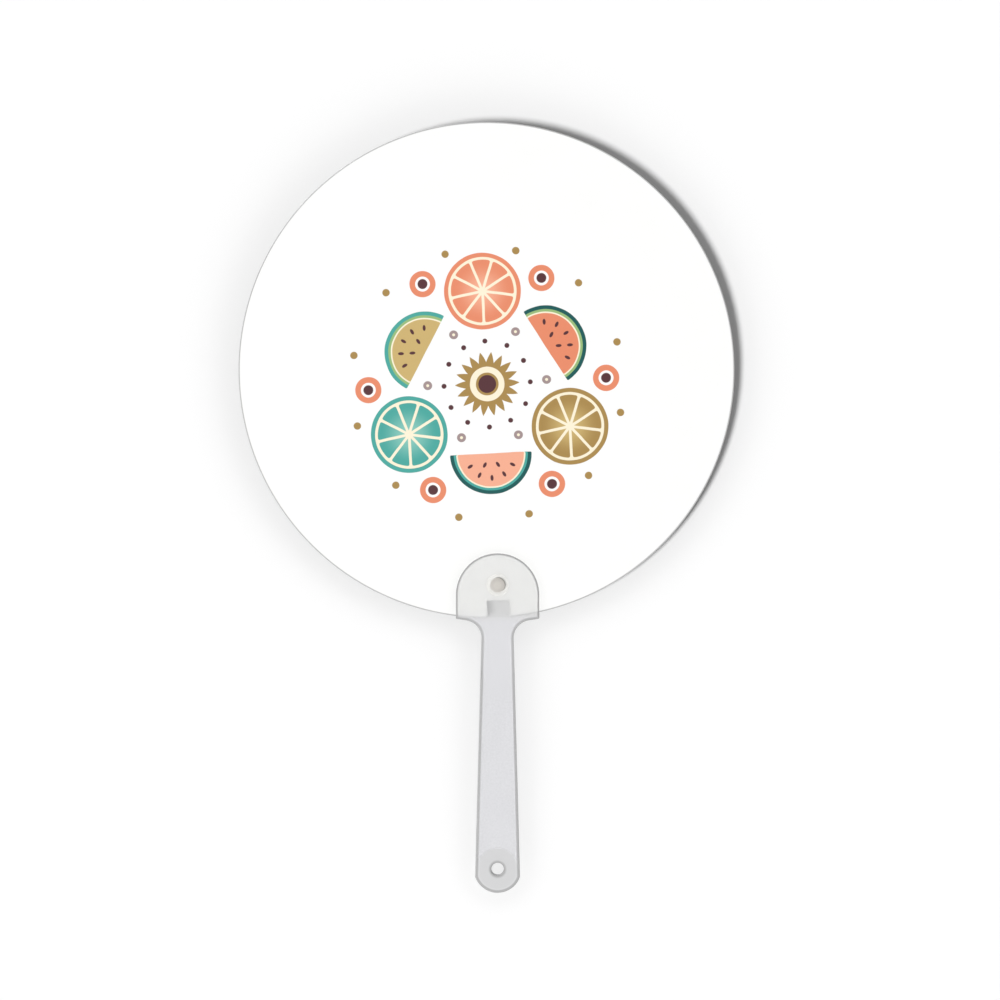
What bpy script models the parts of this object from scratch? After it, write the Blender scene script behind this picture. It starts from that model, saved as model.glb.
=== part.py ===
"""Round hand fan: a flat printed disc held in the slotted head of a moulded handle.

The model is laid out flat first, with the disc towards +Y and the front towards +Z,
and one empty then stands it upright: world +Z runs up the handle and world -Y is the
front. The origin is the middle of the hand grip. All lengths are in metres.
"""

import math

import bmesh
import bpy
from mathutils import Vector

# Disc
disc_radius = 0.1000
disc_thickness = 0.0007
disc_edge_round = 0.00012
rivet_inset = 0.0131
disc_lean = math.radians(2.95)

# Handle outline
rivet_height = 0.0700
head_radius = 0.0168
head_centre_drop = 0.0040
shoulder_wall = 0.0008
neck_fillet = 0.0072
neck_width = 0.0130
neck_drop = 0.0220
tail_width = 0.0179
tail_flare = 0.0006
hang_hole_drop = 0.0444
hang_hole_radius = 0.00255
hang_hole_lip = 0.0004
plan_corner_round = 0.0004

# Handle section
flat_thickness = 0.0032
raised_thickness = 0.0042
flat_edge_round = 0.00035
raised_edge_round = 0.0005
rim_width = 0.0012
rim_start_drop = 0.0040
rim_blend_length = 0.0200
frame_inset = 0.00002
pad_arch_rise = 0.00065
boss_radius = 0.00445
boss_edge_round = 0.00015

# Slot and key
key_width = 0.0074
key_top_drop = 0.0066

# Snap rivet
rivet_head_radius = 0.0029
rivet_head_thickness = 0.0006
rivet_head_crown = 0.00012
rivet_chamfer = 0.00012
barrel_radius = 0.0021
pin_radius = 0.0011
bead_radius = 0.0013
bead_length = 0.0007
bead_land_share = 0.25
bead_inset = 0.0009
pin_tip_chamfer = 0.0003
pin_tip_recess = 0.00025

# Clearances and cutting
fit_gap = 0.0003
overrun = 0.0020
same_point = 0.00002
weld_distance = 0.000003

# Smoothness of round shapes
disc_steps = 240
head_steps = 32
arc_steps = 10
shoulder_steps = 2
hole_steps = 48
edge_steps = 4
rim_blend_steps = 10
crown_steps = 5
smooth_angle = math.radians(30)
flat_facing = 0.9

# Places worked out from the sizes above
rivet_to_disc_centre = disc_radius - rivet_inset
neck_height = rivet_height - neck_drop
rim_start_height = neck_height - rim_start_drop
rim_full_height = rim_start_height - rim_blend_length
tail_radius = tail_width / 2 + tail_flare
pad_arch_radius = tail_width / 2 - rim_width + pad_arch_rise
head_centre = Vector((0.0, rivet_height - head_centre_drop))
disc_seat_centre = Vector((0.0, rivet_height + rivet_to_disc_centre))
hang_hole_centre = Vector((0.0, -hang_hole_drop))
lean_offset = 2 * rivet_to_disc_centre * math.sin(disc_lean / 2)
seat_radius = disc_radius + lean_offset * head_radius / disc_radius + fit_gap
shoulder_radius = seat_radius + shoulder_wall
slot_width = disc_thickness + 2 * fit_gap
flat_half = flat_thickness / 2
raised_half = raised_thickness / 2
rivet_hole_radius = barrel_radius + fit_gap
counterbore_radius = rivet_head_radius + fit_gap
counterbore_depth = rivet_head_thickness + fit_gap
head_underside = raised_half - rivet_head_thickness
bead_land = bead_length * bead_land_share
bead_height = -raised_half + pin_tip_recess + bead_inset
bore_radius = pin_radius + fit_gap
groove_radius = bead_radius + fit_gap


def clear_scene():
    """Remove every object and collection that the file starts with."""
    for old in list(bpy.data.objects):
        bpy.data.objects.remove(old, do_unlink=True)
    for group in list(bpy.data.collections):
        bpy.data.collections.remove(group)


def new_collection(name):
    group = bpy.data.collections.new(name)
    bpy.context.scene.collection.children.link(group)
    return group


def material(name, colour, roughness, metallic=0.0):
    finish = bpy.data.materials.new(name)
    finish.use_nodes = True
    shader = finish.node_tree.nodes["Principled BSDF"]
    shader.inputs["Base Color"].default_value = (*colour, 1.0)
    shader.inputs["Roughness"].default_value = roughness
    shader.inputs["Metallic"].default_value = metallic
    finish.diffuse_color = (*colour, 1.0)
    return finish


def place(shape, group, stand):
    """Link an object to a collection and hang it on the standing empty."""
    group.objects.link(shape)
    shape.parent = stand
    return shape


def arc(centre, radius, start, end, steps):
    """Points along an arc, both ends included."""
    points = []
    for index in range(steps + 1):
        angle = start + (end - start) * index / steps
        points.append(centre + radius * Vector((math.cos(angle), math.sin(angle))))
    return points


def angle_to(centre, point):
    return math.atan2(point.y - centre.y, point.x - centre.x)


def line_meets_circle(start, direction, centre, radius, ahead):
    """Where a line meets a circle: the far meeting when ahead is true, else the near one."""
    offset = start - centre
    along = offset.dot(direction)
    root = math.sqrt(along * along - offset.length_squared + radius * radius)
    travel = -along + root if ahead else -along - root
    return start + direction * travel


def both_sides(right_side):
    """Close an outline from its right half, listed from top to bottom."""
    left_side = [Vector((-point.x, point.y)) for point in reversed(right_side)]
    points = []
    for point in right_side + left_side:
        if not points or (point - points[-1]).length > same_point:
            points.append(point)
    if (points[0] - points[-1]).length < same_point:
        points.pop()
    return points


def plate(name, outline, thickness):
    """A flat plate centred on z = 0, with each flat face one polygon."""
    curve = bpy.data.curves.new(name, "CURVE")
    curve.dimensions = "2D"
    curve.fill_mode = "BOTH"
    curve.extrude = thickness / 2
    spline = curve.splines.new("POLY")
    spline.points.add(len(outline) - 1)
    for target, point in zip(spline.points, outline):
        target.co = (point.x, point.y, 0.0, 1.0)
    spline.use_cyclic_u = True
    source = bpy.data.objects.new(name, curve)
    bpy.context.scene.collection.objects.link(source)
    evaluated = source.evaluated_get(bpy.context.evaluated_depsgraph_get())
    mesh = bpy.data.meshes.new_from_object(evaluated)
    bpy.data.objects.remove(source, do_unlink=True)
    bpy.data.curves.remove(curve)
    shape = bmesh.new()
    shape.from_mesh(mesh)
    bmesh.ops.remove_doubles(shape, verts=shape.verts, dist=weld_distance)
    for side in (1.0, -1.0):
        flat = [face for face in shape.faces if face.normal.z * side > flat_facing]
        bmesh.ops.dissolve_faces(shape, faces=flat)
    bmesh.ops.recalc_face_normals(shape, faces=shape.faces)
    shape.to_mesh(mesh)
    shape.free()
    mesh.name = name
    return bpy.data.objects.new(name, mesh)


def bevel_edges(shape, edges, width, segments):
    bmesh.ops.bevel(shape, geom=edges, offset=width, offset_type="OFFSET", affect="EDGES",
                    segments=segments, profile=0.5, material=-1, clamp_overlap=True)


def is_flat(face):
    return abs(face.normal.z) > flat_facing


def soften_plate(flat_object, corner_round, face_round, segments):
    """Round a plate's plan corners, then the edges of its two flat faces."""
    shape = bmesh.new()
    shape.from_mesh(flat_object.data)
    corners = []
    for edge in shape.edges:
        upright = not any(is_flat(face) for face in edge.link_faces)
        if upright and edge.calc_face_angle() > smooth_angle:
            corners.append(edge)
    if corners:
        bevel_edges(shape, corners, corner_round, segments)
    outline = []
    for edge in shape.edges:
        if len({is_flat(face) for face in edge.link_faces}) == 2:
            outline.append(edge)
    bevel_edges(shape, outline, face_round, segments)
    shape.to_mesh(flat_object.data)
    shape.free()


def round_bar(name, radius, length, centre, steps):
    """A cylinder along Z, centred at a point."""
    mesh = bpy.data.meshes.new(name)
    shape = bmesh.new()
    bmesh.ops.create_cone(shape, cap_ends=True, segments=steps, radius1=radius,
                          radius2=radius, depth=length)
    bmesh.ops.translate(shape, verts=shape.verts, vec=centre)
    shape.to_mesh(mesh)
    shape.free()
    return bpy.data.objects.new(name, mesh)


def block(name, size, centre):
    """A box with its given sides, centred at a point."""
    mesh = bpy.data.meshes.new(name)
    shape = bmesh.new()
    bmesh.ops.create_cube(shape, size=1.0)
    bmesh.ops.scale(shape, verts=shape.verts, vec=size)
    bmesh.ops.translate(shape, verts=shape.verts, vec=centre)
    shape.to_mesh(mesh)
    shape.free()
    return bpy.data.objects.new(name, mesh)


def turned(name, profile, closed, steps):
    """A solid of revolution about Z from (radius, height) points, outer side going down."""
    mesh = bpy.data.meshes.new(name)
    shape = bmesh.new()
    corners = [shape.verts.new((radius, 0.0, height)) for radius, height in profile]
    for first, second in zip(corners, corners[1:]):
        shape.edges.new((first, second))
    if closed:
        shape.edges.new((corners[-1], corners[0]))
    shape.to_mesh(mesh)
    shape.free()
    body = bpy.data.objects.new(name, mesh)
    screw = body.modifiers.new("turn", "SCREW")
    screw.axis = "Z"
    screw.angle = math.tau
    screw.steps = steps
    screw.render_steps = steps
    screw.use_merge_vertices = True
    screw.merge_threshold = weld_distance
    return body


def combine(target, other, operation):
    """Add one exact Boolean between two objects."""
    cut = target.modifiers.new(other.name, "BOOLEAN")
    cut.object = other
    cut.operation = operation
    cut.solver = "EXACT"


def as_cutter(shape, group, stand):
    """Keep a cutting shape out of the model."""
    place(shape, group, stand)
    shape.hide_render = True
    shape.display_type = "WIRE"
    return shape


def settle(body):
    """Fix a finished piece's modifiers into its mesh and shade its round faces smooth."""
    bpy.context.view_layer.update()
    evaluated = body.evaluated_get(bpy.context.evaluated_depsgraph_get())
    mesh = bpy.data.meshes.new_from_object(evaluated)
    mesh.name = body.name
    body.modifiers.clear()
    body.data = mesh
    mesh.shade_smooth()
    mesh.set_sharp_from_angle(angle=smooth_angle)


def side_half_width(height):
    """Half the handle's width at a height on its tapered sides."""
    share = (neck_height - height) / (neck_height + hang_hole_drop)
    return (neck_width + (tail_width - neck_width) * share) / 2


def eased(share):
    """A smooth step from 0 to 1."""
    return share * share * (3 - 2 * share)


def rim_heights():
    """Heights and eased shares along the stretch where the rims grow out of the neck."""
    for index in range(rim_blend_steps + 1):
        share = index / rim_blend_steps
        yield rim_start_height + (rim_full_height - rim_start_height) * share, eased(share)


def tail_arc(inset):
    """The tail's arc from its right corner to the bottom, and the line down to that corner."""
    top = Vector((side_half_width(neck_height) - inset, neck_height))
    low = Vector((side_half_width(-hang_hole_drop) - inset, -hang_hole_drop))
    radius = tail_radius - inset
    corner = line_meets_circle(top, (low - top).normalized(), hang_hole_centre, radius, True)
    return arc(hang_hole_centre, radius, angle_to(hang_hole_centre, corner), -math.pi / 2, arc_steps)


def handle_outline():
    """Head arc, shoulders that follow the disc, neck fillets, taper and tail arc."""
    neck_point = Vector((side_half_width(neck_height), neck_height))
    tail_point = Vector((side_half_width(-hang_hole_drop), -hang_hole_drop))
    down = (tail_point - neck_point).normalized()
    outward = Vector((-down.y, down.x))
    fillet_centre = line_meets_circle(neck_point + outward * neck_fillet, down, disc_seat_centre,
                                      shoulder_radius + neck_fillet, False)
    if fillet_centre.y > disc_seat_centre.y:
        fillet_centre = line_meets_circle(neck_point + outward * neck_fillet, down,
                                          disc_seat_centre, shoulder_radius + neck_fillet, True)
    to_seat = (disc_seat_centre - fillet_centre).normalized()
    shoulder_end = fillet_centre + to_seat * neck_fillet
    shoulder_start = Vector((head_radius, disc_seat_centre.y - math.sqrt(
        shoulder_radius ** 2 - head_radius ** 2)))
    right = arc(head_centre, head_radius, math.pi / 2, 0.0, head_steps)
    right += arc(disc_seat_centre, shoulder_radius, angle_to(disc_seat_centre, shoulder_start),
                 angle_to(disc_seat_centre, shoulder_end), shoulder_steps)
    right += arc(fillet_centre, neck_fillet, angle_to(fillet_centre, shoulder_end),
                 math.pi + angle_to(Vector((0.0, 0.0)), outward), arc_steps)
    right += tail_arc(0.0)
    return both_sides(right)


def frame_outline():
    """The raised frame: it grows out of the neck's rounded edge and ends in the tail arc."""
    right = [Vector((0.0, rim_start_height))]
    for height, grown in rim_heights():
        inset = flat_edge_round * (1 - grown) + frame_inset
        right.append(Vector((side_half_width(height) - inset, height)))
    right += tail_arc(frame_inset)
    return both_sides(right)


def recess_outline():
    """What is cut from the raised frame: all but its rims and the tail pad."""
    wide = neck_width / 2 + overrun
    top = rim_start_height + overrun
    right = [Vector((0.0, top)), Vector((wide, top)), Vector((wide, rim_start_height))]
    for height, grown in rim_heights():
        inset = rim_width * grown - raised_edge_round * (1 - grown)
        right.append(Vector((side_half_width(height) - inset, height)))
    full = right[-1]
    low = Vector((side_half_width(-hang_hole_drop) - rim_width, -hang_hole_drop))
    meeting = line_meets_circle(full, (low - full).normalized(), hang_hole_centre,
                                pad_arch_radius, False)
    right += arc(hang_hole_centre, pad_arch_radius, angle_to(hang_hole_centre, meeting),
                 math.pi / 2, arc_steps)
    return both_sides(right)


def hang_hole_cutter():
    """A round bar that flares into a quarter round at both faces."""
    top = raised_half
    flare_radius = hang_hole_radius + hang_hole_lip
    profile = [(0.0, top + overrun), (flare_radius, top + overrun)]
    for index in range(edge_steps + 1):
        angle = math.pi / 2 * index / edge_steps
        profile.append((flare_radius - hang_hole_lip * math.sin(angle),
                        top - hang_hole_lip + hang_hole_lip * math.cos(angle)))
    profile += [(radius, -height) for radius, height in reversed(profile)]
    cutter = turned("hang_hole_cutter", profile, False, hole_steps)
    cutter.location = (hang_hole_centre.x, hang_hole_centre.y, 0.0)
    return cutter


def raised_frame(cutters, stand):
    """Rims and tail pad, standing proud of the flat plate on both sides."""
    frame = plate("raised_frame", frame_outline(), raised_thickness)
    soften_plate(frame, plan_corner_round, raised_edge_round, edge_steps)
    floor = flat_half - flat_edge_round
    depth = raised_half - floor + overrun
    for side, name in ((1, "front_recess_cutter"), (-1, "back_recess_cutter")):
        recess = plate(name, recess_outline(), depth)
        recess.location.z = side * (floor + depth / 2)
        combine(frame, as_cutter(recess, cutters, stand), "DIFFERENCE")
    return as_cutter(frame, cutters, stand)


def slot_cutter(cutters, stand):
    """The room for the disc between the cheeks, with the key left standing in it."""
    slot = round_bar("slot_cutter", seat_radius, slot_width, (0.0, disc_seat_centre.y, 0.0), disc_steps)
    key_bottom = disc_seat_centre.y - seat_radius - overrun
    key_top = rivet_height - key_top_drop
    key = block("key_block", (key_width, key_top - key_bottom, slot_width + overrun),
                (0.0, (key_top + key_bottom) / 2, 0.0))
    combine(slot, as_cutter(key, cutters, stand), "DIFFERENCE")
    return as_cutter(slot, cutters, stand)


def handle(parts, cutters, stand):
    """One moulding: two cheeks, slot with key, rivet boss, rimmed grip and tail pad."""
    body = plate("handle", handle_outline(), flat_thickness)
    soften_plate(body, plan_corner_round, flat_edge_round, edge_steps)
    place(body, parts, stand)
    combine(body, raised_frame(cutters, stand), "UNION")

    boss = round_bar("rivet_boss", boss_radius, raised_thickness, (0.0, rivet_height, 0.0), hole_steps)
    soften_plate(boss, 0.0, boss_edge_round, edge_steps // 2)
    combine(body, as_cutter(boss, cutters, stand), "UNION")
    combine(body, slot_cutter(cutters, stand), "DIFFERENCE")

    hole = round_bar("rivet_hole_cutter", rivet_hole_radius, raised_thickness + overrun,
                     (0.0, rivet_height, 0.0), hole_steps)
    combine(body, as_cutter(hole, cutters, stand), "DIFFERENCE")
    for side, name in ((1, "front_counterbore_cutter"), (-1, "back_counterbore_cutter")):
        middle = side * (raised_half - counterbore_depth + (counterbore_depth + overrun) / 2)
        sink = round_bar(name, counterbore_radius, counterbore_depth + overrun,
                         (0.0, rivet_height, middle), hole_steps)
        combine(body, as_cutter(sink, cutters, stand), "DIFFERENCE")
    combine(body, as_cutter(hang_hole_cutter(), cutters, stand), "DIFFERENCE")
    body.data.materials.append(material("frosted_plastic", (0.74, 0.74, 0.76), 0.45))
    return body


def fan_disc(parts, cutters, stand):
    """A thin round sheet with a rivet hole and a notch that clears the key."""
    disc = round_bar("fan_disc", disc_radius, disc_thickness, (0.0, 0.0, 0.0), disc_steps)
    soften_plate(disc, 0.0, disc_edge_round, 2)
    place(disc, parts, stand)
    pivot = Vector((0.0, rivet_height))
    reach = rivet_to_disc_centre * Vector((-math.sin(disc_lean), math.cos(disc_lean)))
    disc.location = (*(pivot + reach), 0.0)
    disc.rotation_euler = (0.0, 0.0, disc_lean)

    hole = round_bar("disc_rivet_hole_cutter", rivet_hole_radius, disc_thickness + overrun,
                     (0.0, 0.0, 0.0), hole_steps)
    hole.location = (*pivot, 0.0)
    combine(disc, as_cutter(hole, cutters, stand), "DIFFERENCE")

    seat_drop = seat_radius - rivet_to_disc_centre
    sideways = seat_drop * math.sin(disc_lean) + fit_gap
    notch_width = key_width + 2 * sideways
    notch_top = -key_top_drop + key_width / 2 * math.sin(disc_lean) + fit_gap
    notch_bottom = -seat_drop - overrun
    notch = block("notch_cutter", (notch_width, notch_top - notch_bottom, disc_thickness + overrun),
                  (0.0, (notch_top + notch_bottom) / 2, 0.0))
    notch.location = (*pivot, 0.0)
    notch.rotation_euler = (0.0, 0.0, disc_lean)
    combine(disc, as_cutter(notch, cutters, stand), "DIFFERENCE")
    disc.data.materials.append(material("white_sheet", (0.92, 0.92, 0.91), 0.5))
    return disc


def crown(edge_radius, edge_height, rise):
    """Profile points of a low dome from the axis out to its edge."""
    points = []
    for index in range(crown_steps + 1):
        share = index / crown_steps
        points.append((edge_radius * share, edge_height + rise * (1 - share * share)))
    return points


def rivet_stud(parts, stand, finish):
    """Front half of the snap rivet: domed head and a pin with a snap bead."""
    tip = -raised_half + pin_tip_recess
    profile = crown(rivet_head_radius, raised_half - rivet_head_crown, rivet_head_crown)
    profile += [
        (rivet_head_radius, head_underside),
        (pin_radius, head_underside),
        (pin_radius, bead_height + bead_length / 2),
        (bead_radius, bead_height + bead_land / 2),
        (bead_radius, bead_height - bead_land / 2),
        (pin_radius, bead_height - bead_length / 2),
        (pin_radius, tip + pin_tip_chamfer),
        (pin_radius - pin_tip_chamfer, tip),
        (0.0, tip),
    ]
    stud = turned("rivet_stud", profile, False, hole_steps)
    place(stud, parts, stand)
    stud.location = (0.0, rivet_height, 0.0)
    stud.data.materials.append(finish)
    return stud


def rivet_socket(parts, stand, finish):
    """Back half of the snap rivet: a flange and a barrel with a groove for the bead."""
    barrel_end = head_underside - fit_gap
    flange_front = -head_underside
    flange_back = -raised_half
    groove_half = bead_length / 2 + fit_gap
    profile = [
        (bore_radius + rivet_chamfer, barrel_end),
        (barrel_radius - rivet_chamfer, barrel_end),
        (barrel_radius, barrel_end - rivet_chamfer),
        (barrel_radius, flange_front),
        (rivet_head_radius, flange_front),
        (rivet_head_radius, flange_back + rivet_chamfer),
        (rivet_head_radius - rivet_chamfer, flange_back),
        (bore_radius, flange_back),
        (bore_radius, bead_height - groove_half),
        (groove_radius, bead_height - bead_land / 2),
        (groove_radius, bead_height + bead_land / 2),
        (bore_radius, bead_height + groove_half),
        (bore_radius, barrel_end - rivet_chamfer),
    ]
    socket = turned("rivet_socket", profile, True, hole_steps)
    place(socket, parts, stand)
    socket.location = (0.0, rivet_height, 0.0)
    socket.data.materials.append(finish)
    return socket


def build():
    clear_scene()
    parts = new_collection("round_hand_fan")
    cutters = new_collection("cutters")
    stand = bpy.data.objects.new("upright", None)
    parts.objects.link(stand)
    stand.rotation_euler = (math.pi / 2, 0.0, 0.0)
    pieces = [
        handle(parts, cutters, stand),
        fan_disc(parts, cutters, stand),
        rivet_stud(parts, stand, material("stud_plastic", (0.60, 0.57, 0.52), 0.4)),
        rivet_socket(parts, stand, material("socket_plastic", (0.60, 0.57, 0.52), 0.4)),
    ]
    for piece in pieces:
        settle(piece)


build()
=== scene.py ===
"""Looks of a round hand fan: a printed white disc in the slotted head of a frosted plastic handle.

Lengths are in metres. A name that ends in _mm is in millimetres, the unit in which the
materials measure the surface. +Z runs up the handle and -Y is the printed front.
"""

import math

import bmesh
import bpy
from mathutils import Matrix, Vector


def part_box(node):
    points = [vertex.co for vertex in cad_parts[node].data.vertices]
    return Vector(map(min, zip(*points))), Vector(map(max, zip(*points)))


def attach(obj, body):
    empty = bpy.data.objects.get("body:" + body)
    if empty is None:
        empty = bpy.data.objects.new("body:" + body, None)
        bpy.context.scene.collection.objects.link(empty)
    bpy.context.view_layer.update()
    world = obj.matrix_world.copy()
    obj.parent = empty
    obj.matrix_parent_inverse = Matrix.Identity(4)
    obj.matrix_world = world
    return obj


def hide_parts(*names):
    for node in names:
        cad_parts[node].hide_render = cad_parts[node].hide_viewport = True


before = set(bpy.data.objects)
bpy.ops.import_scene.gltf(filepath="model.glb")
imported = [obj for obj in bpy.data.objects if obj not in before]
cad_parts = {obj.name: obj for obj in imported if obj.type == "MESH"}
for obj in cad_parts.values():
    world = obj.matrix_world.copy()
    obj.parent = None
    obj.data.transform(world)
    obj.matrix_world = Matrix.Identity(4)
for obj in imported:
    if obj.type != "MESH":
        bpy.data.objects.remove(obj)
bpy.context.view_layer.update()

mm = 0.001

# Places read from the frame
handle_low, handle_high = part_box("handle")
disc_low, disc_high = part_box("fan_disc")
stud_low, stud_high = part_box("rivet_stud")
disc_centre = (disc_low + disc_high) / 2
disc_radius_mm = (disc_high.x - disc_low.x) / 2 / mm
rivet_centre = (stud_low + stud_high) / 2
disc_lean = math.atan2(rivet_centre.x - disc_centre.x, disc_centre.z - rivet_centre.z)

# The handle's outline, as the moulding has it
head_radius_mm = handle_high.x / mm
head_centre_mm = handle_high.z / mm - head_radius_mm
tail_radius_mm = 9.55
hang_hole_mm = handle_low.z / mm + tail_radius_mm
hang_hole_radius_mm = 2.55
neck_height_mm = 48.0
neck_half_mm = 6.5
tail_half_mm = 8.95
neck_fillet_mm = 7.2
shoulder_radius_mm = 101.86
shoulder_centre_mm = 156.9

# Its raised features, and where the grip's grain fades in
pad_arch_mm = 8.4
rim_width_mm = 1.2
rim_start_mm = 44.0
rim_full_mm = 24.0
boss_radius_mm = 4.45
grain_start_mm = 30.0
grain_full_mm = 22.0

# Camera, at the photograph's distance and framing
lens_mm = 100.0
sensor_mm = 36.0
camera_distance = 1.1206
camera_side = 0.00097
camera_height = 0.1043

# Stage
wall_gap = 0.0076
rest_gap = 0.0003
floor_height = -0.1000
stage_reach = 4.0


def ink(red, green, blue):
    """A colour given in 8-bit screen steps, as the linear colour that a shader takes."""
    last_step = 255
    toe_end, toe_slope, curve_shift, curve_scale, curve_power = 0.04045, 12.92, 0.055, 1.055, 2.4
    linear = []
    for step in (red, green, blue):
        value = step / last_step
        if value <= toe_end:
            linear.append(value / toe_slope)
        else:
            linear.append(((value + curve_shift) / curve_scale) ** curve_power)
    return (*linear, 1.0)


coral = ink(225, 137, 104)
coral_pale = ink(238, 170, 142)
ochre = ink(165, 134, 78)
ochre_pale = ink(199, 172, 112)
teal = ink(74, 163, 154)
teal_pale = ink(132, 194, 182)
deep_teal = ink(30, 88, 86)
leaf_green = ink(148, 182, 120)
taupe = ink(158, 140, 139)
brown = ink(86, 52, 56)
cream = ink(244, 234, 208)
sheet_white = ink(243, 243, 242)


class Wiring:
    """Adds nodes to one tree. An input takes a number, a colour or another node's output."""

    # The Mix node's sockets for colours, which come after those for numbers and vectors
    first_colour, second_colour, mixed_colour = 6, 7, 2

    def __init__(self, tree):
        self.tree = tree

    def put(self, kind, **settings):
        node = self.tree.nodes.new(kind)
        for name, value in settings.items():
            setattr(node, name, value)
        return node

    def feed(self, socket, value):
        if isinstance(value, bpy.types.NodeSocket):
            self.tree.links.new(value, socket)
        else:
            socket.default_value = value

    def math(self, operation, *values):
        node = self.put("ShaderNodeMath", operation=operation)
        for socket, value in zip(node.inputs, values):
            self.feed(socket, value)
        return node.outputs[0]

    def least(self, first, *others):
        for other in others:
            first = self.math("MINIMUM", first, other)
        return first

    def most(self, first, *others):
        for other in others:
            first = self.math("MAXIMUM", first, other)
        return first

    def length(self, across, along):
        return self.math("SQRT", self.math("ADD", self.math("MULTIPLY", across, across),
                                           self.math("MULTIPLY", along, along)))

    def fade(self, value, start, end, low=0.0, high=1.0):
        """A smooth change from low to high while value goes from start to end."""
        node = self.put("ShaderNodeMapRange", interpolation_type="SMOOTHSTEP")
        for name, given in (("Value", value), ("From Min", start), ("From Max", end),
                            ("To Min", low), ("To Max", high)):
            self.feed(node.inputs[name], given)
        return node.outputs["Result"]

    def mix(self, share, first, second, blend="MIX"):
        node = self.put("ShaderNodeMix", data_type="RGBA", blend_type=blend)
        self.feed(node.inputs["Factor"], share)
        self.feed(node.inputs[self.first_colour], first)
        self.feed(node.inputs[self.second_colour], second)
        return node.outputs[self.mixed_colour]

    def shaded(self, colour, shade):
        """A colour made lighter or darker by a number that changes over the surface."""
        grey = self.put("ShaderNodeCombineColor")
        for channel in ("Red", "Green", "Blue"):
            self.feed(grey.inputs[channel], shade)
        return self.mix(1.0, colour, grey.outputs[0], "MULTIPLY")

    def noise(self, place, scale, detail, roughness=0.5):
        node = self.put("ShaderNodeTexNoise")
        for name, given in (("Vector", place), ("Scale", scale), ("Detail", detail),
                            ("Roughness", roughness)):
            self.feed(node.inputs[name], given)
        return node.outputs["Fac"]

    def steps(self, value, colours):
        """One flat colour for each equal step of value from 0 to 1."""
        node = self.put("ShaderNodeValToRGB")
        ramp = node.color_ramp
        ramp.interpolation = "CONSTANT"
        while len(ramp.elements) < len(colours):
            ramp.elements.new(1.0)
        for index, colour in enumerate(colours):
            ramp.elements[index].position = index / len(colours)
            ramp.elements[index].color = colour
        self.feed(node.inputs["Fac"], value)
        return node.outputs["Color"]

    def use(self, group, **inputs):
        node = self.put("ShaderNodeGroup", node_tree=group)
        for name, value in inputs.items():
            self.feed(node.inputs[name], value)
        return node.outputs


def new_group(name, takes, gives):
    """A shader node group with plain number sockets, and the wiring, inputs and exit to fill it."""
    group = bpy.data.node_groups.new(name, "ShaderNodeTree")
    for title in takes:
        kind = "NodeSocketVector" if title == "Place" else "NodeSocketFloat"
        group.interface.new_socket(name=title, in_out="INPUT", socket_type=kind)
    for title in gives:
        group.interface.new_socket(name=title, in_out="OUTPUT", socket_type="NodeSocketFloat")
    wiring = Wiring(group)
    entry = wiring.put("NodeGroupInput").outputs
    leave = wiring.put("NodeGroupOutput").inputs
    return group, wiring, entry, leave


ink_edge_mm = 0.14


def inside(w, distance):
    """1 where a signed distance is under zero, with a fine soft edge."""
    return w.fade(distance, ink_edge_mm / 2, -ink_edge_mm / 2)


def fold_group():
    """Folds the sheet into equal wedges round its middle, so that one motif prints many times."""
    # Keeps each wedge's number just past the border of its own step of colour
    step_shift = 1.01
    group, w, entry, leave = new_group("wedge_fold", ("Across", "Up", "Count", "Turn"),
                                       ("Out", "Side", "Wedge"))
    angle = w.math("SUBTRACT", w.math("ARCTAN2", entry["Up"], entry["Across"]), entry["Turn"])
    wedge_angle = w.math("DIVIDE", math.tau, entry["Count"])
    turns = w.math("DIVIDE", angle, wedge_angle)
    wedge = w.math("ROUND", turns)
    rest = w.math("MULTIPLY", w.math("SUBTRACT", turns, wedge), wedge_angle)
    radius = w.length(entry["Across"], entry["Up"])
    w.feed(leave["Out"], w.math("MULTIPLY", radius, w.math("COSINE", rest)))
    w.feed(leave["Side"], w.math("MULTIPLY", radius, w.math("SINE", rest)))
    shifted = w.math("ADD", w.math("DIVIDE", wedge, entry["Count"]), step_shift)
    w.feed(leave["Wedge"], w.math("FRACT", shifted))
    return group


def slice_group():
    """A cut citrus wheel: rind, pith, and round-cornered segments."""
    rind_mm, pith_mm, hub_mm, wall_mm, corner_mm = 1.7, 1.1, 1.5, 0.55, 1.3
    segments = 9
    core_share = 0.75
    group, w, entry, leave = new_group("citrus_slice", ("Along", "Cross", "Radius"),
                                       ("Rind", "Pith", "Flesh", "Core"))
    radius = w.length(entry["Along"], entry["Cross"])
    turns = w.math("MULTIPLY", w.math("ARCTAN2", entry["Cross"], entry["Along"]), segments / math.tau)
    middle = w.math("SUBTRACT", turns, w.math("ROUND", turns))
    angle = w.math("MULTIPLY", middle, math.tau / segments)
    off_wall = w.math("SUBTRACT", math.pi / segments, w.math("ABSOLUTE", angle))
    to_wall = w.math("MULTIPLY", radius, w.math("SINE", off_wall))
    outer = w.math("SUBTRACT", radius, w.math("SUBTRACT", entry["Radius"], rind_mm + pith_mm))
    walls = w.math("SUBTRACT", wall_mm, to_wall)
    shape = w.math("SMOOTH_MAX", outer, walls, corner_mm)
    shape = w.math("MAXIMUM", shape, w.math("SUBTRACT", hub_mm, radius))
    rind_inside = w.math("SUBTRACT", entry["Radius"], rind_mm)
    w.feed(leave["Rind"], inside(w, w.math("SUBTRACT", radius, entry["Radius"])))
    w.feed(leave["Pith"], inside(w, w.math("SUBTRACT", radius, rind_inside)))
    w.feed(leave["Flesh"], inside(w, shape))
    w.feed(leave["Core"], w.fade(radius, w.math("MULTIPLY", entry["Radius"], core_share), hub_mm))
    return group


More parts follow.
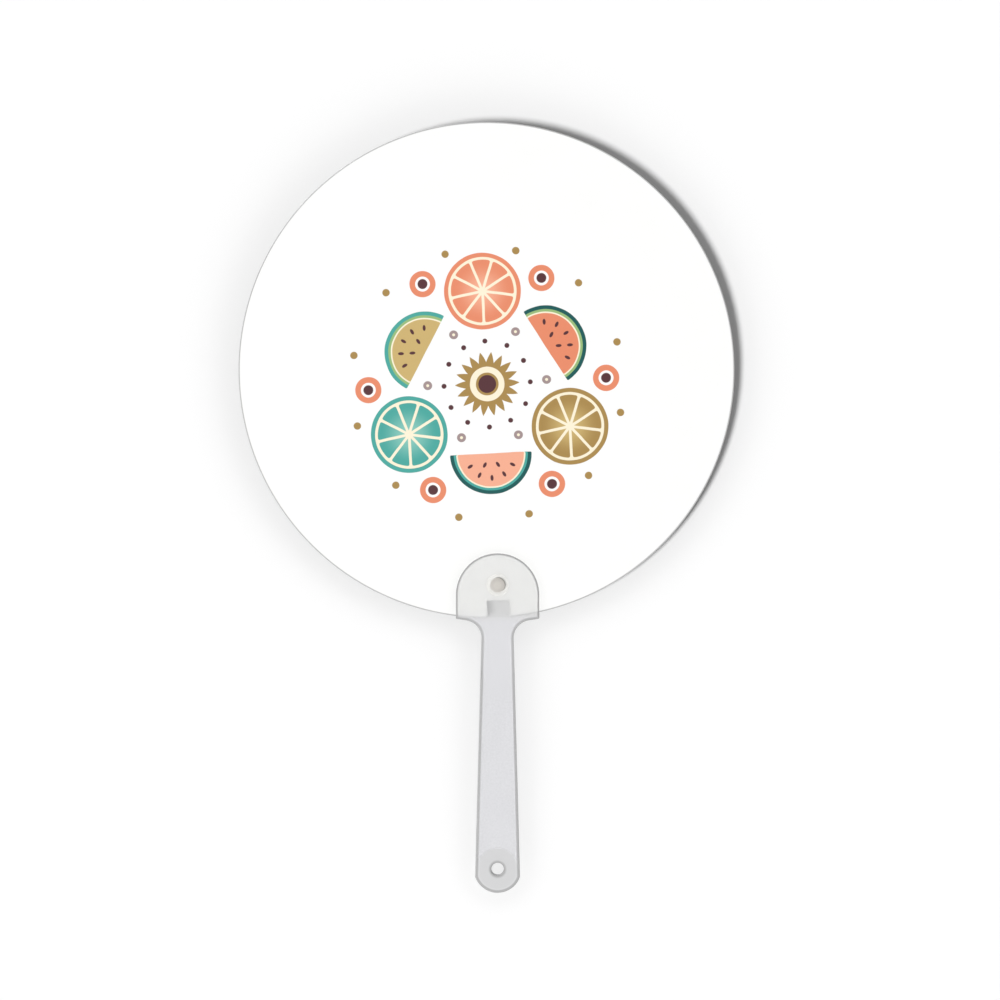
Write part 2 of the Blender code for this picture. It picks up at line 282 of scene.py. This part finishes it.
def melon_group(fold):
    """Half a melon slice with its rind outwards: rind, pale band, pith, flesh and rows of seeds."""
    rind_mm, band_mm, pith_mm, corner_mm = 1.5, 1.0, 0.6, 0.8
    seed_half_length_mm, seed_half_width_mm, seed_margin_mm = 1.2, 0.62, 1.6
    # Each row of seeds: its share of the radius, how many fill a whole round, and its turn
    seed_rows = ((0.6, 12.0, 0.0), (0.32, 6.0, math.radians(30)))
    group, w, entry, leave = new_group("melon_slice", ("Along", "Cross", "Radius"),
                                       ("Rind", "Band", "Pith", "Flesh", "Seeds"))
    radius = w.length(entry["Along"], entry["Cross"])
    behind_cut = w.math("MULTIPLY", entry["Along"], -1.0)
    depth = 0.0
    for layer, thickness in (("Rind", rind_mm), ("Band", band_mm), ("Pith", pith_mm), ("Flesh", 0.0)):
        past_arc = w.math("SUBTRACT", radius, w.math("SUBTRACT", entry["Radius"], depth))
        w.feed(leave[layer], inside(w, w.math("SMOOTH_MAX", behind_cut, past_arc, corner_mm)))
        depth += thickness
    seeds = 0.0
    for reach, count, turn in seed_rows:
        row = w.use(fold, Across=entry["Along"], Up=entry["Cross"], Count=count, Turn=turn)
        out = w.math("SUBTRACT", row["Out"], w.math("MULTIPLY", entry["Radius"], reach))
        stretched = w.length(w.math("DIVIDE", out, seed_half_length_mm),
                             w.math("DIVIDE", row["Side"], seed_half_width_mm))
        seed = w.math("MULTIPLY", w.math("SUBTRACT", stretched, 1.0), seed_half_width_mm)
        seeds = w.math("MAXIMUM", seeds, inside(w, seed))
    clear_of_cut = inside(w, w.math("SUBTRACT", seed_margin_mm, entry["Along"]))
    w.feed(leave["Seeds"], w.math("MULTIPLY", seeds, clear_of_cut))
    return group


def button_group():
    """A round dot inside a ring."""
    group, w, entry, leave = new_group("ring_dot", ("Along", "Cross", "Radius", "Gap", "Dot"),
                                       ("Ring", "Eye"))
    radius = w.length(entry["Along"], entry["Cross"])
    outer = w.math("SUBTRACT", radius, entry["Radius"])
    inner = w.math("SUBTRACT", entry["Gap"], radius)
    w.feed(leave["Ring"], inside(w, w.math("MAXIMUM", outer, inner)))
    w.feed(leave["Eye"], inside(w, w.math("SUBTRACT", radius, entry["Dot"])))
    return group


def burst_group():
    """A sun with pointed rays."""
    half_ray = 0.5
    group, w, entry, leave = new_group("ray_burst", ("Along", "Cross", "Radius", "Rays", "Depth"),
                                       ("Rays",))
    radius = w.length(entry["Along"], entry["Cross"])
    turns = w.math("MULTIPLY", w.math("ARCTAN2", entry["Cross"], entry["Along"]),
                   w.math("DIVIDE", entry["Rays"], math.tau))
    notch = w.math("MULTIPLY", w.math("PINGPONG", turns, half_ray), 1 / half_ray)
    reach = w.math("SUBTRACT", entry["Radius"], w.math("MULTIPLY", notch, entry["Depth"]))
    w.feed(leave["Rays"], inside(w, w.math("SUBTRACT", radius, reach)))
    return group


def grain_group():
    """Fine moulded or milled grain: a tone that shifts a little and a height for bump."""
    fine_detail, fine_roughness = 3.0, 0.6
    cloud_scale, cloud_detail = 60.0, 2.0
    middle = 0.5
    group, w, entry, leave = new_group("surface_grain", ("Place", "Cell", "Tone", "Clouds"),
                                       ("Shade", "Height"))
    fine = w.noise(entry["Place"], w.math("DIVIDE", 1.0, entry["Cell"]), fine_detail, fine_roughness)
    broad = w.noise(entry["Place"], cloud_scale, cloud_detail)
    centred = w.math("MULTIPLY", w.math("SUBTRACT", fine, middle), entry["Tone"])
    drift = w.math("MULTIPLY", w.math("SUBTRACT", broad, middle), entry["Clouds"])
    w.feed(leave["Shade"], w.math("ADD", 1.0, w.math("ADD", centred, drift)))
    w.feed(leave["Height"], fine)
    return group


def handle_edge_group():
    """How far a point lies inside the handle's outline and from its hole and its rivet, in mm."""
    group, w, entry, leave = new_group("handle_edge", ("Across", "Up"), ("Edge", "Hole", "Rivet"))
    across = w.math("ABSOLUTE", entry["Across"])
    up = entry["Up"]

    above_head = w.math("MAXIMUM", w.math("SUBTRACT", up, head_centre_mm), 0.0)
    head = w.math("SUBTRACT", head_radius_mm, w.length(across, above_head))
    from_hole = w.length(across, w.math("SUBTRACT", up, hang_hole_mm))
    tail = w.math("SUBTRACT", tail_radius_mm, from_hole)

    taper = (tail_half_mm - neck_half_mm) / (neck_height_mm - hang_hole_mm)
    half = w.math("ADD", neck_half_mm, w.math("MULTIPLY", w.math("SUBTRACT", neck_height_mm, up), taper))
    side = w.math("SUBTRACT", half, across)

    fillet_side = neck_half_mm + neck_fillet_mm
    fillet_drop = math.sqrt((shoulder_radius_mm + neck_fillet_mm) ** 2 - fillet_side ** 2)
    fillet_up = shoulder_centre_mm - fillet_drop
    to_fillet = w.length(w.math("SUBTRACT", across, fillet_side), w.math("SUBTRACT", up, fillet_up))
    fillet = w.math("SUBTRACT", to_fillet, neck_fillet_mm)
    to_seat = w.length(across, w.math("SUBTRACT", up, shoulder_centre_mm))
    shoulder = w.math("SUBTRACT", shoulder_radius_mm, to_seat)

    # Each stretch of the outline counts only where it runs, and is far away elsewhere
    far_mm = 400.0
    overlap_mm = 0.9
    past_hole = w.math("MULTIPLY", w.math("GREATER_THAN", up, hang_hole_mm), far_mm)
    past_neck = w.math("MULTIPLY", w.math("GREATER_THAN", up, fillet_up), far_mm)
    inside_neck = w.math("MULTIPLY", w.math("LESS_THAN", across, fillet_side - overlap_mm), far_mm)
    below_fillet = w.math("MULTIPLY", w.math("LESS_THAN", up, fillet_up), far_mm)
    edge = w.least(head, w.math("ADD", tail, past_hole), w.math("ADD", side, past_neck),
                   w.math("ADD", shoulder, w.math("ADD", inside_neck, below_fillet)),
                   w.math("ADD", fillet, below_fillet))
    w.feed(leave["Edge"], edge)
    w.feed(leave["Hole"], from_hole)
    w.feed(leave["Rivet"], w.length(across, w.math("SUBTRACT", up, rivet_centre.z / mm)))
    return group


fold = fold_group()
citrus = slice_group()
melon = melon_group(fold)
button = button_group()
burst = burst_group()
grain = grain_group()
handle_edge = handle_edge_group()


def new_material(name):
    """An empty material with its wiring, its Principled shader and the surface's own coordinates."""
    material = bpy.data.materials.new(name)
    material.use_nodes = True
    wiring = Wiring(material.node_tree)
    shader = material.node_tree.nodes["Principled BSDF"]
    place = wiring.put("ShaderNodeTexCoord").outputs["Object"]
    return material, wiring, shader, place


def in_millimetres(w, place, centre=(0.0, 0.0, 0.0), lean=0.0):
    """Surface coordinates in mm from a centre, turned with a piece that leans: across, depth, up."""
    mapping = w.put("ShaderNodeMapping", vector_type="TEXTURE")
    w.feed(mapping.inputs["Vector"], place)
    mapping.inputs["Location"].default_value = centre
    mapping.inputs["Rotation"].default_value = (0.0, -lean, 0.0)
    mapping.inputs["Scale"].default_value = (mm, mm, mm)
    parts = w.put("ShaderNodeSeparateXYZ")
    w.feed(parts.inputs[0], mapping.outputs["Vector"])
    return parts.outputs["X"], parts.outputs["Y"], parts.outputs["Z"]


def bump(w, shader, height, strength, distance):
    """Lets a height roughen the surface, by up to a distance in metres."""
    node = w.put("ShaderNodeBump")
    node.inputs["Strength"].default_value = strength
    node.inputs["Distance"].default_value = distance
    w.feed(node.inputs["Height"], height)
    w.feed(shader.inputs["Normal"], node.outputs["Normal"])


def motif(w, group, out, side, foot_mm, foot_side_mm=0.0, **sizes):
    """One motif in every wedge, with its middle at a foot measured from the wedge's tip."""
    along = w.math("SUBTRACT", out, foot_mm)
    cross = w.math("SUBTRACT", side, foot_side_mm)
    return w.use(group, Along=along, Cross=cross, **sizes)


def print_design(w, base, across, up):
    """Lays the print over a base colour: melon slices, citrus wheels, ringed dots, dots and a sun.

    Returns the printed colour and a mask of where there is ink.
    """
    thirds, sixths, twelfths = 3.0, 6.0, 12.0
    slice_turn, slice_foot_mm, slice_radius_mm = math.radians(30), 28.0, 16.5
    wheel_turn, wheel_foot_mm, wheel_radius_mm = math.radians(90), 37.5, 15.5
    ring_foot_mm, ring_radius_mm, ring_gap_mm, ring_dot_mm = 48.0, 5.3, 3.0, 2.0
    bead_foot_mm, bead_side_mm, bead_radius_mm, bead_eye_mm = 20.5, 12.5, 1.8, 0.6
    sun_radius_mm, sun_rays, sun_ray_mm = 13.0, 18.0, 4.2
    sun_ring_mm, sun_gap_mm, sun_eye_mm = 7.0, 4.6, 3.6
    no_gap_mm = -1.0
    # Each row of dots: its turn, how far out it lies, the radius of its dots and their ink
    dot_rows = ((math.radians(15), 55.0, 1.5, ochre), (0.0, 17.4, 1.0, brown))
    inked = 0.0

    def lay(colour, tint, mask):
        nonlocal inked
        inked = w.math("MAXIMUM", inked, mask)
        return w.mix(mask, colour, tint)

    def wedges(count, turn):
        return w.use(fold, Across=across, Up=up, Count=count, Turn=turn)

    slices = wedges(thirds, slice_turn)
    shape = motif(w, melon, slices["Out"], slices["Side"], slice_foot_mm, Radius=slice_radius_mm)
    colour = lay(base, w.steps(slices["Wedge"], (deep_teal, teal, deep_teal)), shape["Rind"])
    colour = w.mix(shape["Band"], colour, w.steps(slices["Wedge"], (leaf_green, leaf_green, teal)))
    colour = w.mix(shape["Pith"], colour, cream)
    colour = w.mix(shape["Flesh"], colour, w.steps(slices["Wedge"], (coral, ochre_pale, coral_pale)))
    colour = w.mix(shape["Seeds"], colour, brown)

    wheels = wedges(thirds, wheel_turn)
    shape = motif(w, citrus, wheels["Out"], wheels["Side"], wheel_foot_mm, Radius=wheel_radius_mm)
    rind = w.steps(wheels["Wedge"], (coral, teal, ochre))
    juice = w.steps(wheels["Wedge"], (coral_pale, teal_pale, ochre_pale))
    colour = lay(colour, rind, shape["Rind"])
    colour = w.mix(shape["Pith"], colour, cream)
    colour = w.mix(shape["Flesh"], colour, w.mix(shape["Core"], rind, juice))

    rings = wedges(sixths, 0.0)
    shape = motif(w, button, rings["Out"], rings["Side"], ring_foot_mm,
                  Radius=ring_radius_mm, Gap=ring_gap_mm, Dot=ring_dot_mm)
    colour = lay(colour, coral, shape["Ring"])
    colour = lay(colour, brown, shape["Eye"])

    # A pale-eyed bead on each side of every wheel's foot
    mirrored = w.math("ABSOLUTE", wheels["Side"])
    shape = motif(w, button, wheels["Out"], mirrored, bead_foot_mm, bead_side_mm,
                  Radius=bead_radius_mm, Gap=no_gap_mm, Dot=bead_eye_mm)
    colour = lay(colour, taupe, shape["Ring"])
    colour = w.mix(shape["Eye"], colour, cream)

    for turn, distance_mm, size_mm, tint in dot_rows:
        dots = wedges(twelfths, turn)
        shape = motif(w, button, dots["Out"], dots["Side"], distance_mm, Radius=size_mm, Gap=no_gap_mm)
        colour = lay(colour, tint, shape["Ring"])

    sun = w.use(burst, Along=across, Cross=up, Radius=sun_radius_mm, Rays=sun_rays, Depth=sun_ray_mm)
    colour = lay(colour, ochre, sun["Rays"])
    shape = w.use(button, Along=across, Cross=up, Radius=sun_ring_mm, Gap=sun_gap_mm, Dot=sun_eye_mm)
    colour = w.mix(shape["Ring"], colour, cream)
    colour = w.mix(shape["Eye"], colour, brown)
    return colour, inked


def printed_sheet():
    """Smooth white sheet: print on the front, a trace of it on the back, painted shade round the edge.
    """
    print_drop_mm = 5.7
    wobble_mm, wobble_scale, wobble_detail, wobble_middle = 0.35, 130.0, 1.0, 0.5
    second_wobble_place = (0.05, 0.0, 0.02)
    rim_shade_grey = ink(150, 150, 150)
    rim_mm, rim_core_mm, rim_shade_share = 0.65, 0.3, 0.75
    show_through = 0.035
    grain_cell, grain_tone, grain_clouds = 0.0006, 0.02, 0.02
    bare_roughness, ink_smoothing, gloss = 0.42, -0.08, 0.3
    bump_strength, bump_depth = 0.10, 0.00005
    material, w, shader, place = new_material("printed_sheet")
    centre = (disc_centre.x, 0.0, disc_centre.z)
    across, depth, up = in_millimetres(w, place, centre, disc_lean)
    # A thin grey ring of painted shade just inside the sheet's edge
    rim = w.fade(w.length(across, up), disc_radius_mm - rim_mm, disc_radius_mm - rim_core_mm)

    # The ink's borders wander a little, each way on its own
    shift_across = w.noise(place, wobble_scale, wobble_detail)
    moved = w.put("ShaderNodeVectorMath", operation="ADD")
    w.feed(moved.inputs[0], place)
    moved.inputs[1].default_value = second_wobble_place
    shift_up = w.noise(moved.outputs[0], wobble_scale, wobble_detail)
    wobble_across = w.math("MULTIPLY", w.math("SUBTRACT", shift_across, wobble_middle), wobble_mm)
    wobble_up = w.math("MULTIPLY", w.math("SUBTRACT", shift_up, wobble_middle), wobble_mm)
    print_across = w.math("ADD", across, wobble_across)
    print_up = w.math("ADD", w.math("ADD", up, print_drop_mm), wobble_up)

    surface = w.use(grain, Place=place, Cell=grain_cell, Tone=grain_tone, Clouds=grain_clouds)
    colour, inked = print_design(w, sheet_white, print_across, print_up)
    front = w.math("LESS_THAN", depth, 0.0)
    strength = w.math("ADD", show_through, w.math("MULTIPLY", front, 1.0 - show_through))
    colour = w.mix(strength, sheet_white, colour)
    colour = w.shaded(colour, surface["Shade"])
    # The ring of painted shade goes over the print
    colour = w.mix(w.math("MULTIPLY", rim, rim_shade_share), colour, rim_shade_grey)
    w.feed(shader.inputs["Base Color"], colour)
    smoothing = w.math("MULTIPLY", inked, ink_smoothing)
    w.feed(shader.inputs["Roughness"], w.math("ADD", bare_roughness, smoothing))
    shader.inputs["Specular IOR Level"].default_value = gloss
    bump(w, shader, surface["Height"], bump_strength, bump_depth)
    return material


def frosted_plastic():
    """Translucent unpigmented plastic, clear enough over the disc to show it, painted shade at its
    edges.
    """
    panel = ink(212, 212, 215)
    # The cheeks over the disc are painted darker than the panel, standing in for shade
    shaded_cheek = ink(204, 204, 203)
    pad = ink(203, 203, 204)
    # Painted shade on the raised rims along the grip
    rim_shade_grey = ink(182, 182, 184)
    # Painted shade along the outline, darker on the head than on the grip
    head_edge_shade = ink(144, 144, 144)
    grip_edge_shade = ink(166, 166, 166)
    # Painted shade in a ring round the hanging hole
    hole_edge_shade = ink(154, 154, 154)
    # A painted highlight line just inside the outline
    inner_highlight = ink(226, 226, 227)
    boss_cream = ink(212, 211, 207)
    # Painted shade for the key, where no white disc lies behind the plastic
    key_shade_grey = ink(196, 196, 197)

    # Where each tone lies, how soft its border is, and the share of it that shows
    cheek_start_mm, cheek_full_mm = 54.0, 60.0
    border_mm = 0.3
    key_half_mm, key_low_mm, key_high_mm, key_border_mm, key_shade_share = 4.65, 57.1, 63.9, 0.25, 0.5
    line_start_mm, line_full_mm, line_fade_mm, line_end_mm, highlight_share = 0.8, 1.1, 1.2, 1.7, 0.2
    rim_outside_mm, rim_inside_mm, rim_shade_share = 0.15, 0.25, 0.8
    outline_mm, outline_core_mm, grip_extra_mm, outline_shade_share = 0.95, 0.5, 0.3, 0.85
    hole_ring_mm, hole_core_mm, hole_shade_share = 1.4, 0.2, 0.85

    # How much each part hides what is behind it, and how much shade it throws
    slot_half_mm, slot_border_mm, side_wall_mm = 1.0, 0.2, 0.25
    clear_cover, edge_cover, slot_cover = 0.62, 0.92, 0.25
    grip_shade, cheek_shade = 0.92, 0.7
    hole_light_mm, hole_shade_mm = 7.8, 9.2

    grain_cell, grain_tone, grain_clouds = 0.0008, 0.28, 0.05
    roughness, gloss = 0.4, 0.45
    smooth_height, bump_strength, bump_depth = 0.2, 0.35, 0.00012

    material, w, shader, place = new_material("frosted_plastic")
    across, depth, up = in_millimetres(w, place)
    shape = w.use(handle_edge, Across=across, Up=up)
    hole, rivet = shape["Hole"], shape["Rivet"]

    on_cheek = w.fade(up, cheek_start_mm, cheek_full_mm)
    edge = w.math("SUBTRACT", shape["Edge"],
                  w.math("MULTIPLY", w.math("SUBTRACT", 1.0, on_cheek), grip_extra_mm))
    on_pad = w.most(w.fade(hole, pad_arch_mm + border_mm, pad_arch_mm - border_mm),
                    w.fade(up, hang_hole_mm + border_mm, hang_hole_mm - border_mm))
    # The panel, the cheeks painted darker as shade, and the pad
    colour = w.mix(on_pad, w.mix(on_cheek, panel, shaded_cheek), pad)
    on_boss = w.fade(rivet, boss_radius_mm + border_mm, boss_radius_mm - border_mm)
    colour = w.mix(on_boss, colour, boss_cream)

    # The key's rectangle gets painted shade, as where no disc lies behind the cheek
    beside_key = w.math("SUBTRACT", w.math("ABSOLUTE", across), key_half_mm)
    over_key = w.math("SUBTRACT", up, key_high_mm)
    under_key = w.math("SUBTRACT", key_low_mm, up)
    on_key = w.fade(w.most(over_key, under_key, beside_key), key_border_mm, -key_border_mm)
    colour = w.mix(w.math("MULTIPLY", on_key, key_shade_share), colour, key_shade_grey)

    # A painted highlight line runs just inside the outline
    near_edge = w.math("MULTIPLY", w.fade(edge, line_start_mm, line_full_mm),
                       w.fade(edge, line_end_mm, line_fade_mm))
    colour = w.mix(w.math("MULTIPLY", near_edge, highlight_share), colour, inner_highlight)
    # The grip's raised rims get a band of painted shade
    raised = w.fade(up, rim_start_mm, rim_full_mm)
    rim_band = w.fade(shape["Edge"], rim_width_mm + rim_outside_mm, rim_width_mm - rim_inside_mm)
    on_rim = w.math("MULTIPLY", raised, rim_band)
    colour = w.mix(w.math("MULTIPLY", on_rim, rim_shade_share), colour, rim_shade_grey)
    # Painted shade along the handle's outline
    on_edge = w.fade(edge, outline_mm, outline_core_mm)
    # A ring of painted shade round the hanging hole
    round_hole = w.fade(hole, hang_hole_radius_mm + hole_ring_mm, hang_hole_radius_mm + hole_core_mm)
    colour = w.mix(w.math("MULTIPLY", round_hole, hole_shade_share), colour, hole_edge_shade)
    outline = w.mix(on_cheek, grip_edge_shade, head_edge_shade)
    colour = w.mix(w.math("MULTIPLY", on_edge, outline_shade_share), colour, outline)

    grained = w.math("MULTIPLY", w.fade(up, grain_start_mm, grain_full_mm),
                     w.math("SUBTRACT", 1.0, on_pad))
    surface = w.use(grain, Place=place, Cell=grain_cell, Tone=w.math("MULTIPLY", grained, grain_tone),
                    Clouds=grain_clouds)
    w.feed(shader.inputs["Base Color"], w.shaded(colour, surface["Shade"]))

    # The faces inside the slot are clearer than the outer ones, and the plastic lets some light by
    off_middle = w.math("ABSOLUTE", depth)
    outer = w.most(w.fade(off_middle, slot_half_mm, slot_half_mm + slot_border_mm),
                   w.fade(shape["Edge"], side_wall_mm, side_wall_mm / 2))
    solid = w.most(on_edge, round_hole, on_pad)
    seen_cover = w.fade(solid, 0.0, 1.0, clear_cover, edge_cover)
    light_cover = w.math("MULTIPLY", w.fade(on_cheek, 0.0, 1.0, grip_shade, cheek_shade),
                         w.fade(hole, hole_light_mm, hole_shade_mm))
    path = w.put("ShaderNodeLightPath").outputs
    lighting = w.math("MAXIMUM", path["Is Shadow Ray"], path["Is Diffuse Ray"])
    cover = w.fade(lighting, 0.0, 1.0, seen_cover, light_cover)
    w.feed(shader.inputs["Alpha"], w.math("MULTIPLY", cover, w.fade(outer, 0.0, 1.0, slot_cover, 1.0)))

    shader.inputs["Roughness"].default_value = roughness
    shader.inputs["Specular IOR Level"].default_value = gloss
    height = w.math("MULTIPLY", surface["Height"], w.fade(grained, 0.0, 1.0, smooth_height, 1.0))
    bump(w, shader, height, bump_strength, bump_depth)
    return material


def rivet_plastic(name, tint):
    """Natural greyish beige plastic with a satin face, with painted shade towards its rim."""
    rim_shade_beige = ink(190, 186, 180)
    rim_start_mm, rim_full_mm = 1.0, 2.2
    grain_cell, grain_tone, grain_clouds = 0.0005, 0.06, 0.04
    roughness, gloss = 0.38, 0.4
    bump_strength, bump_depth = 0.12, 0.00005
    material, w, shader, place = new_material(name)
    across, _, up = in_millimetres(w, place, (rivet_centre.x, 0.0, rivet_centre.z))
    surface = w.use(grain, Place=place, Cell=grain_cell, Tone=grain_tone, Clouds=grain_clouds)
    # Painted shade darkens the face towards its rim
    near_rim = w.fade(w.length(across, up), rim_start_mm, rim_full_mm)
    colour = w.mix(near_rim, tint, rim_shade_beige)
    w.feed(shader.inputs["Base Color"], w.shaded(colour, surface["Shade"]))
    shader.inputs["Roughness"].default_value = roughness
    shader.inputs["Specular IOR Level"].default_value = gloss
    bump(w, shader, surface["Height"], bump_strength, bump_depth)
    return material


weld_distance = 0.000002
sharp_angle = math.radians(32)
flat_facing = 0.9999


def keep_faces_flat(mesh):
    """Shades the front and back faces flat, with the rounded edges starting level from them."""
    sides = {}
    for face in mesh.polygons:
        if abs(face.normal.y) > flat_facing:
            for corner in face.vertices:
                sides[corner] = math.copysign(1.0, face.normal.y)
    normals = []
    for face in mesh.polygons:
        for corner in face.vertices:
            side = sides.get(corner, 0.0)
            level = face.normal.y * side > math.cos(sharp_angle)
            normals.append((0.0, side, 0.0) if level else (0.0, 0.0, 0.0))
    mesh.normals_split_custom_set(normals)


def moulded_copy(node, name, material):
    """A welded, smoothly shaded copy of a CAD node, which then stands for the node."""
    shape = bmesh.new()
    shape.from_mesh(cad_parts[node].data)
    bmesh.ops.remove_doubles(shape, verts=shape.verts, dist=weld_distance)
    mesh = bpy.data.meshes.new(name)
    shape.to_mesh(mesh)
    shape.free()
    mesh.materials.clear()
    mesh.materials.append(material)
    mesh.shade_smooth()
    mesh.set_sharp_from_angle(angle=sharp_angle)
    keep_faces_flat(mesh)
    piece = bpy.data.objects.new(name, mesh)
    bpy.context.scene.collection.objects.link(piece)
    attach(piece, "root")
    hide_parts(node)
    return piece


def dress_fan():
    """Finishes every piece. Returns the clear moulding, and the pieces that let no light through."""
    stud_beige = ink(198, 194, 187)
    socket_beige = ink(196, 192, 185)
    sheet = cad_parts["fan_disc"]
    sheet.data.materials.clear()
    sheet.data.materials.append(printed_sheet())
    moulding = moulded_copy("handle", "handle_moulding", frosted_plastic())
    stud = moulded_copy("rivet_stud", "stud_moulding",
                        rivet_plastic("stud_plastic", stud_beige))
    socket = moulded_copy("rivet_socket", "socket_moulding",
                          rivet_plastic("socket_plastic", socket_beige))
    return moulding, (sheet, stud, socket)


def stage_material(name, stops_bounces):
    """White and matt from its front, open from behind and open to light, so it hides nothing.

    A sheet that stops bounces lets light through to what is looked at, but not to what only
    shines on the sheet itself, so that the fan's lit back doesn't wash out its own shadow.
    """
    white = ink(245, 245, 245)
    black = ink(0, 0, 0)
    # A ray counts its bounces in whole numbers, so a half between two of them tells them apart
    before_first, before_second = 0.5, 1.5
    material = bpy.data.materials.new(name)
    material.use_nodes = True
    w = Wiring(material.node_tree)
    material.node_tree.nodes.remove(material.node_tree.nodes["Principled BSDF"])
    path = w.put("ShaderNodeLightPath").outputs
    behind = w.put("ShaderNodeNewGeometry").outputs["Backfacing"]
    passes = path["Is Shadow Ray"]
    if stops_bounces:
        first_light = w.math("LESS_THAN", path["Diffuse Depth"], before_first)
        first_bounce = w.math("LESS_THAN", path["Diffuse Depth"], before_second)
        passes = w.math("MAXIMUM", w.math("MULTIPLY", path["Is Shadow Ray"], first_light),
                        w.math("MULTIPLY", path["Is Diffuse Ray"], first_bounce))
    matt = w.put("ShaderNodeBsdfDiffuse")
    w.feed(matt.inputs["Color"], w.mix(path["Is Diffuse Ray"], white, black))
    clear = w.put("ShaderNodeBsdfTransparent")
    mixer = w.put("ShaderNodeMixShader")
    w.feed(mixer.inputs[0], w.math("MAXIMUM", behind, passes))
    w.feed(mixer.inputs[1], matt.outputs[0])
    w.feed(mixer.inputs[2], clear.outputs[0])
    w.feed(material.node_tree.nodes["Material Output"].inputs["Surface"], mixer.outputs[0])
    return material


def stage_sheet(name, turn, centre, stops_bounces):
    """A wide flat sheet of the stage, which is no part of the fan."""
    mesh = bpy.data.meshes.new(name)
    shape = bmesh.new()
    bmesh.ops.create_grid(shape, x_segments=1, y_segments=1, size=stage_reach)
    bmesh.ops.transform(shape, matrix=Matrix.Translation(centre) @ turn, verts=shape.verts)
    shape.to_mesh(mesh)
    shape.free()
    mesh.materials.append(stage_material(name, stops_bounces))
    sheet = bpy.data.objects.new(name, mesh)
    sheet.visible_diffuse = stops_bounces
    sheet.visible_glossy = False
    bpy.context.scene.collection.objects.link(sheet)
    return sheet


def sun_lamp(name, travel, brightness, width):
    """A far lamp whose light travels one way. Its width, in degrees, makes its shadows softer."""
    lamp = bpy.data.lights.new(name, "SUN")
    lamp.energy = brightness * math.pi
    lamp.angle = math.radians(width)
    holder = bpy.data.objects.new(name, lamp)
    holder.rotation_euler = Vector(travel).to_track_quat("-Z", "Y").to_euler()
    bpy.context.scene.collection.objects.link(holder)
    return holder


def group_of(name, pieces):
    """A collection that only says which pieces a lamp lights, or which ones shade it."""
    group = bpy.data.collections.new(name)
    for piece in pieces:
        group.objects.link(piece)
    return group


def set_stage(moulding, solid_pieces):
    """A white wall that the fan's tail rests on, a pale floor, four lamps and a dome."""
    tail_rest = Vector((0.0, handle_high.y + rest_gap, handle_low.z))
    lean = math.atan2(disc_centre.y + wall_gap - tail_rest.y, disc_centre.z - tail_rest.z)
    up_wall = Vector((0.0, math.sin(lean), math.cos(lean)))
    foot = tail_rest - up_wall * ((tail_rest.z - floor_height) / up_wall.z)
    upright = Matrix.Rotation(math.pi / 2 - lean, 4, "X")
    wall = stage_sheet("wall", upright, foot + up_wall * stage_reach, True)
    floor = stage_sheet("floor", Matrix.Identity(4), Vector((0.0, 0.0, floor_height)), False)

    # A key from the lower left, and a light on the fan's back. The clear plastic throws no shade
    # from them, only the solid pieces do. The wall holds the back light off, as its material says
    key_tilt, key_bearing = math.radians(28), math.radians(28)
    key_brightness, key_width = 0.82, 16
    key_travel = (math.sin(key_tilt) * math.cos(key_bearing), math.cos(key_tilt),
                  math.sin(key_tilt) * math.sin(key_bearing))
    back_travel, back_brightness, back_width = (0.5, -1.0, -0.7), 0.6, 25
    key = sun_lamp("key", key_travel, key_brightness, key_width)
    back_light = sun_lamp("back_light", back_travel, back_brightness, back_width)
    key.light_linking.blocker_collection = group_of("shade_from_key", solid_pieces)
    back_blockers = group_of("shade_from_back_light", (*solid_pieces, wall))
    back_light.light_linking.blocker_collection = back_blockers

    # Two lights that graze the fan from above and from the right, and leave the wall's shade as it is
    down, leftwards = (0.0, 0.0, -1.0), (-1.0, 0.0, 0.0)
    top_brightness, side_brightness, graze_width = 0.45, 0.35, 10
    fan_pieces = (moulding, *solid_pieces)
    top_light = sun_lamp("top_light", down, top_brightness, graze_width)
    side_fill = sun_lamp("side_fill", leftwards, side_brightness, graze_width)
    top_light.light_linking.receiver_collection = group_of("lit_by_top_light", (*fan_pieces, floor))
    side_fill.light_linking.receiver_collection = group_of("lit_by_side_fill", fan_pieces)

    # The dome is brightest a little off the wall's plane, as in a light tent, and looks white
    dome_strength, seen_white = 1.15, 1.02
    ring_start, ring_full, ring_fade, ring_end = 0.05, 0.25, 0.45, 0.75
    world = bpy.data.worlds.new("studio")
    world.use_nodes = True
    bpy.context.scene.world = world
    w = Wiring(world.node_tree)
    direction = w.put("ShaderNodeSeparateXYZ")
    w.feed(direction.inputs[0], w.put("ShaderNodeTexCoord").outputs["Generated"])
    off_plane = w.math("ABSOLUTE", direction.outputs["Y"])
    ring = w.math("MULTIPLY", w.fade(off_plane, ring_start, ring_full),
                  w.fade(off_plane, ring_end, ring_fade))
    dome = w.math("MULTIPLY", ring, dome_strength)
    background = world.node_tree.nodes["Background"]
    background.inputs["Color"].default_value = (1.0, 1.0, 1.0, 1.0)
    seen = w.put("ShaderNodeLightPath").outputs["Is Camera Ray"]
    w.feed(background.inputs["Strength"], w.math("MAXIMUM", dome, w.math("MULTIPLY", seen, seen_white)))


def set_camera():
    """A long lens straight in front of the fan, level with it."""
    camera = bpy.data.cameras.new("camera")
    camera.lens = lens_mm
    camera.sensor_width = sensor_mm
    holder = bpy.data.objects.new("camera", camera)
    holder.location = (camera_side, -camera_distance, camera_height)
    holder.rotation_euler = (math.pi / 2, 0.0, 0.0)
    bpy.context.scene.collection.objects.link(holder)
    bpy.context.scene.camera = holder
    bpy.context.scene.view_settings.view_transform = "Standard"


set_stage(*dress_fan())
set_camera()
